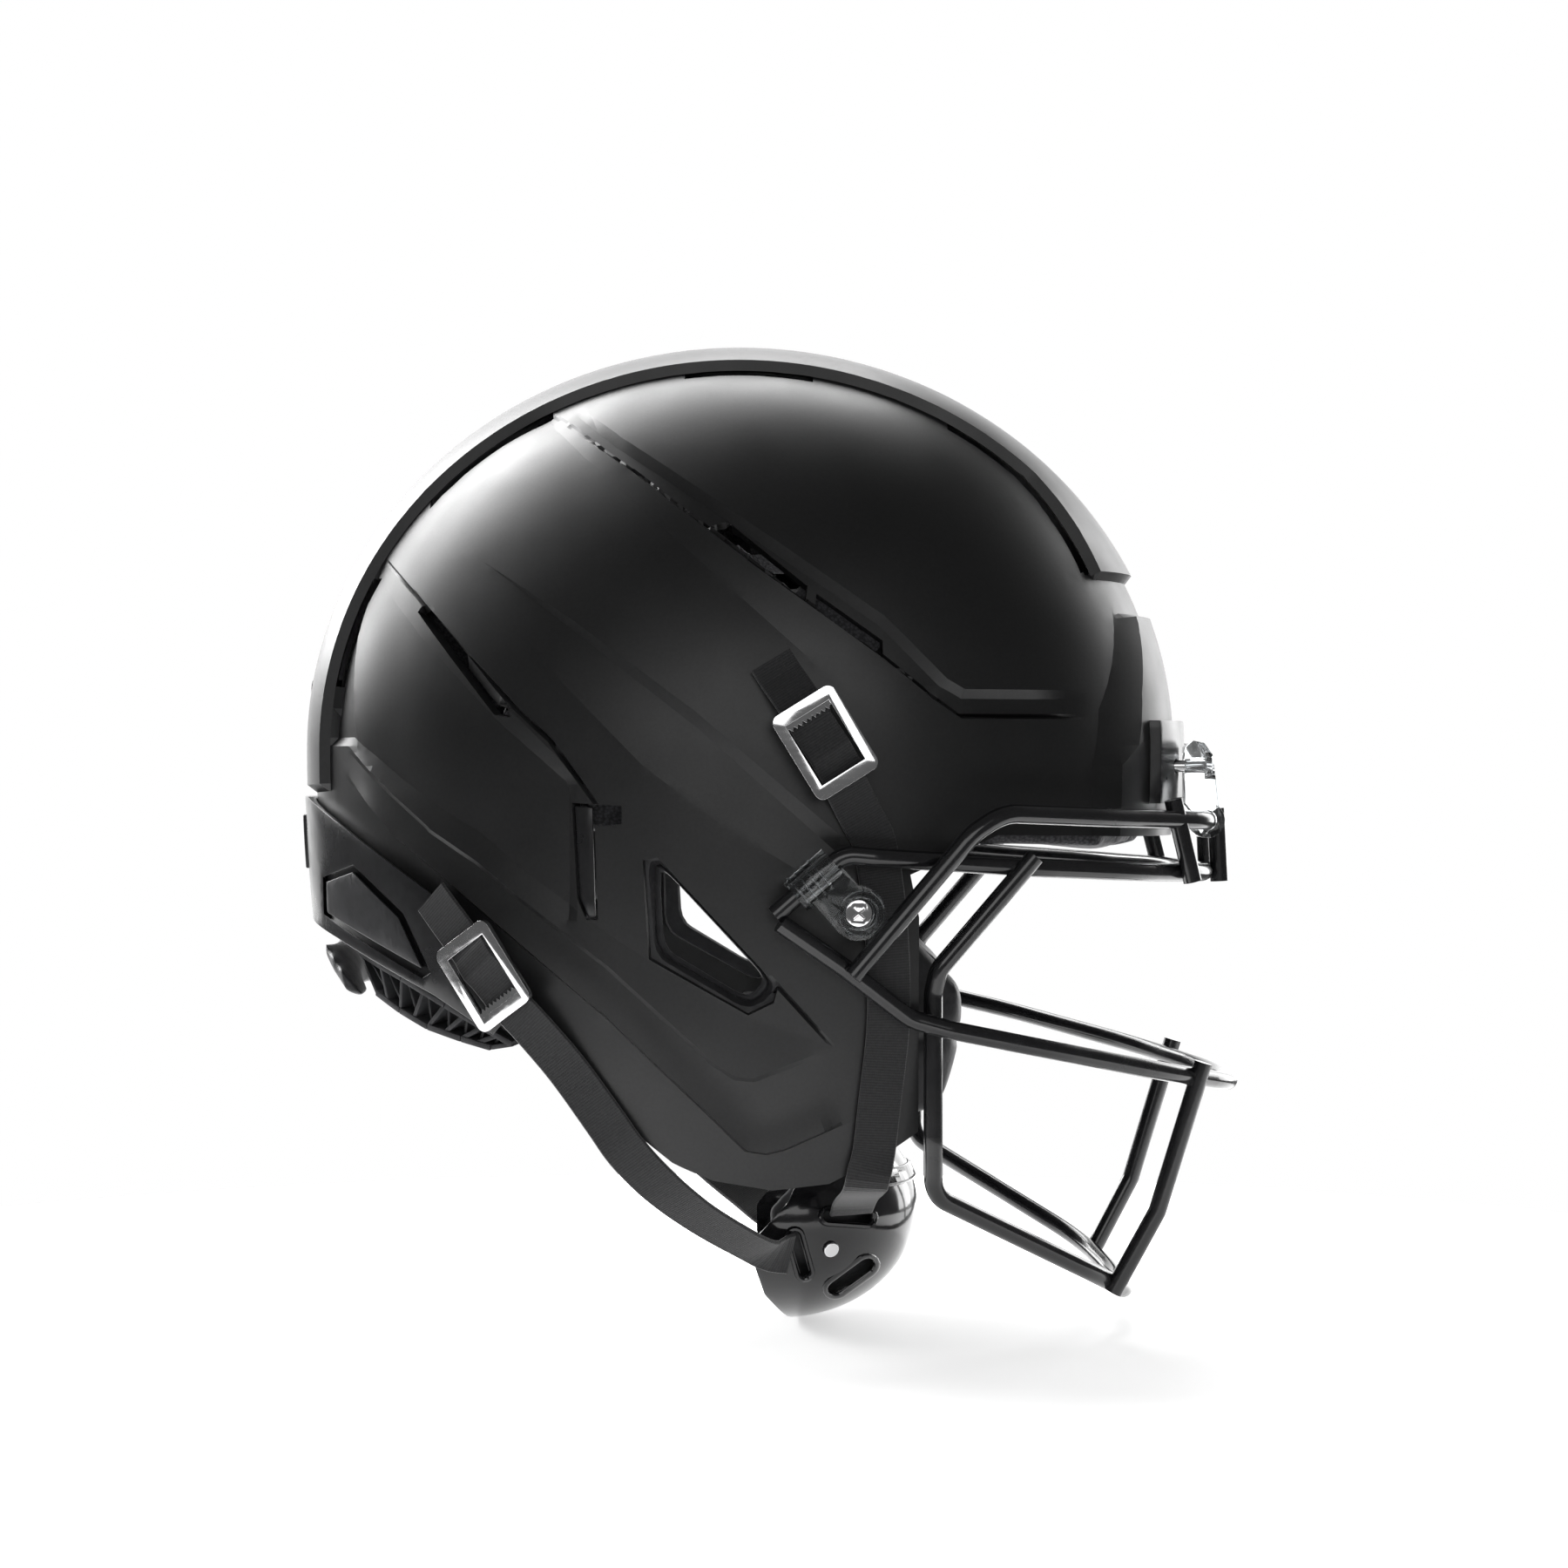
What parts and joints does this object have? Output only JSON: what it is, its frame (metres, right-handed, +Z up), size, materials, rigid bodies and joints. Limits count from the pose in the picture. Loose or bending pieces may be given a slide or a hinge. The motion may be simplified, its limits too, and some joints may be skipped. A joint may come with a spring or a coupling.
{
  "type": "american football helmet",
  "caption": "Football helmet with vented shell, wire facemask on clear clips, padded liner, buckled chin straps and a hard chin cup.",
  "frame": {"origin": "centre of the shell's egg form, in the middle of the head cavity, on the helmet's middle plane", "axes": "+X forward, towards the facemask; +Y to the wearer's left; +Z up, towards the crown"},
  "size_m": [0.336, 0.2596, 0.3493],
  "materials": {
    "shell": "satin",
    "bumper": "satin",
    "mask": "gloss",
    "cup": "gloss",
    "clear_clip": "gloss",
    "chrome": "polished",
    "webbing": "matte",
    "liner": "matte",
    "jaw_pad": "satin",
    "soft_rubber": "matte",
    "small_plastic": "satin"
  },
  "bodies": {
    "shell": {"shell": "shell", "nose_bumper": "bumper", "rear_bumper": "bumper", "rear_pod_right": "bumper", "rear_pod_left": "bumper", "rear_plate": "bumper", "front_pad": "liner", "crown_pad": "liner", "back_pad": "liner", "side_pad_right": "liner", "side_pad_left": "liner", "jaw_pad_right": "jaw_pad", "jaw_pad_left": "jaw_pad", "jaw_pad_snaps": "small_plastic", "occipital_pad": "jaw_pad", "neck_cushion_right": "soft_rubber", "neck_cushion_left": "soft_rubber", "ear_slot_insert_right": "bumper", "ear_slot_insert_left": "bumper", "inflation_valve": "soft_rubber", "front_clip_right": "clear_clip", "front_clip_left": "clear_clip", "front_clip_screws": "chrome", "front_clip_nuts": "chrome", "side_receptacles": "chrome", "snap_studs": "chrome", "snap_caps": "chrome", "upper_tab_right": "webbing", "upper_tab_left": "webbing", "rear_tab_right": "webbing", "rear_tab_left": "webbing", "upper_strap_right": "webbing", "upper_strap_left": "webbing", "rear_strap_right": "webbing", "rear_strap_left": "webbing"},
    "facemask": {"brow_wire": "mask", "lower_brow_wire": "mask", "cheek_wire": "mask", "frame_wire": "mask", "front_bar_right": "mask", "front_bar_left": "mask", "outer_brow_bars": "mask", "inner_brow_bars": "mask", "side_clip_right": "clear_clip", "side_clip_left": "clear_clip", "side_clip_screws": "chrome"},
    "chin_cup": {"chin_cup": "cup", "chin_cup_pad": "jaw_pad", "chin_cup_rivets": "chrome"},
    "upper_buckle_right": {"upper_buckle_right": "chrome"},
    "upper_buckle_left": {"upper_buckle_left": "chrome"},
    "rear_buckle_right": {"rear_buckle_right": "chrome"},
    "rear_buckle_left": {"rear_buckle_left": "chrome"}
  },
  "joints": [
    {"name": "facemask_pivot", "type": "hinge", "parent": "shell", "child": "facemask", "pos_m": [0.1645, 0, -0.025], "axis": [0, -1, 0], "range_deg": [0, 80]},
    {"name": "chin_cup_adjust", "type": "slide", "parent": "shell", "child": "chin_cup", "axis": [0, 0, 1], "range_m": [0, 0.01], "deforming": ["upper_strap_right", "upper_strap_left", "rear_strap_right", "rear_strap_left"]},
    {"name": "upper_buckle_tilt_right", "type": "hinge", "parent": "shell", "child": "upper_buckle_right", "pos_m": [0.02086, -0.12502, 0.01558], "axis": [-0.8407, -0.1311, -0.5253], "range_deg": [0, 30]},
    {"name": "upper_buckle_tilt_left", "type": "hinge", "parent": "shell", "child": "upper_buckle_left", "pos_m": [0.02086, 0.12502, 0.01558], "axis": [0.8407, -0.1311, 0.5253], "range_deg": [0, 30]},
    {"name": "rear_buckle_tilt_right", "type": "hinge", "parent": "shell", "child": "rear_buckle_right", "pos_m": [-0.09242, -0.10155, -0.06251], "axis": [-0.7192, 0.4348, -0.542], "range_deg": [0, 30]},
    {"name": "rear_buckle_tilt_left", "type": "hinge", "parent": "shell", "child": "rear_buckle_left", "pos_m": [-0.09242, 0.10155, -0.06251], "axis": [0.7192, 0.4348, 0.542], "range_deg": [0, 30]}
  ]
}
